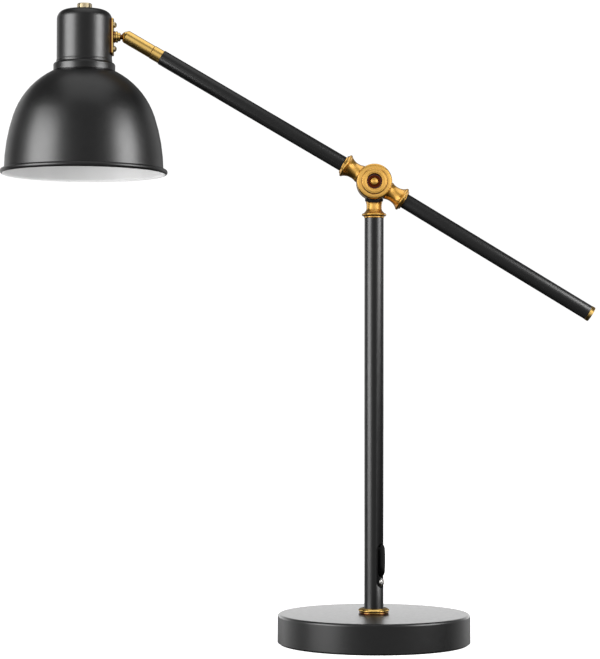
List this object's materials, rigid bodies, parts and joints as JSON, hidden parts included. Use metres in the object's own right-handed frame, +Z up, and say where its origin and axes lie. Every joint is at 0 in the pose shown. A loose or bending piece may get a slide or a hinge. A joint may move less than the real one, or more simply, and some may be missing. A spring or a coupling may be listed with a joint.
{
  "type": "counterweight balance desk lamp",
  "caption": "Desk lamp with a weighted round base, upright pole, tilting balance arm with a counterweight bar, ball-jointed dome shade and a rocker switch.",
  "frame": {"origin": "centre of the base's underside, on the table", "axes": "+Z up along the pole, -X towards the shade, -Y towards the front"},
  "size_m": [0.5901, 0.1916, 0.6334],
  "materials": {
    "foam_pad": "matt foam",
    "black_paint": "satin black powder coat",
    "zinc_steel": "plain zinc",
    "cast_iron": "as cast",
    "black_rubber": "matt",
    "black_plastic": "fine matt",
    "white_plastic": "matt",
    "bright_screw": "bright",
    "polished_brass": "polished, yellow",
    "satin_brass": "satin, orange gold",
    "bare_brass": "plain",
    "bulb_cap": "plain",
    "opal_glass": "opal"
  },
  "bodies": {
    "stand": {"base_pad": "foam_pad", "base_plate": "zinc_steel", "base_weight": "cast_iron", "base_cover": "black_paint", "inlet_bushing": "black_rubber", "clamp_rod": "zinc_steel", "clamp_washer": "zinc_steel", "clamp_nut": "zinc_steel", "foot_ring": "polished_brass", "pole_tube": "black_paint", "foot_plug": "zinc_steel", "head_plug": "zinc_steel", "switch_housing": "black_plastic", "switch_screw": "bright_screw", "switch_clamp_bar": "zinc_steel", "pole_collar": "satin_brass", "saddle_liner": "black_plastic", "pivot_tongue": "zinc_steel"},
    "rocker": {"switch_rocker": "black_plastic"},
    "arm": {"hub_body": "satin_brass", "hub_bolt": "satin_brass", "hub_washers": "satin_brass", "hub_nut": "satin_brass", "friction_discs": "white_plastic", "front_arm_tube": "black_paint", "rear_arm_tube": "black_paint", "counterweight_bar": "zinc_steel", "rear_end_cap": "polished_brass", "swivel_adapter": "polished_brass", "ball_sleeve": "polished_brass", "seat_springs": "zinc_steel"},
    "swivel": {"ball_seat": "white_plastic"},
    "head": {"ball_stud": "polished_brass", "bracket_plate": "polished_brass", "bracket_screws": "bright_screw", "bracket_nuts": "zinc_steel", "stud_nut": "zinc_steel", "shade_cap": "black_paint", "shade_ring": "black_paint", "shade_dome": "black_paint", "top_knob": "polished_brass", "nipple": "zinc_steel", "nipple_nut": "zinc_steel", "lampholder_cap": "white_plastic", "lampholder_body": "white_plastic", "screw_shell": "bare_brass", "centre_contact": "bare_brass", "bulb_base": "bulb_cap", "bulb_glass": "opal_glass"}
  },
  "joints": [
    {"name": "arm_tilt", "type": "hinge", "parent": "stand", "child": "arm", "pos_m": [0, 0, 0.4559], "axis": [0, 1, 0], "range_deg": [-61, 0]},
    {"name": "head_swing", "type": "hinge", "parent": "arm", "child": "swivel", "pos_m": [-0.24582, 0, 0.60012], "axis": [-0.8625, 0, 0.506], "range_deg": [-90, 90]},
    {"name": "head_tilt", "type": "hinge", "parent": "swivel", "child": "head", "pos_m": [-0.24582, 0, 0.60012], "axis": [0, 1, 0], "range_deg": [-9, 70]},
    {"name": "rocker_tip", "type": "hinge", "parent": "stand", "child": "rocker", "pos_m": [0.00426, -0.00298, 0.08225], "axis": [0.5736, 0.8192, 0], "range_deg": [-5, 5]}
  ]
}
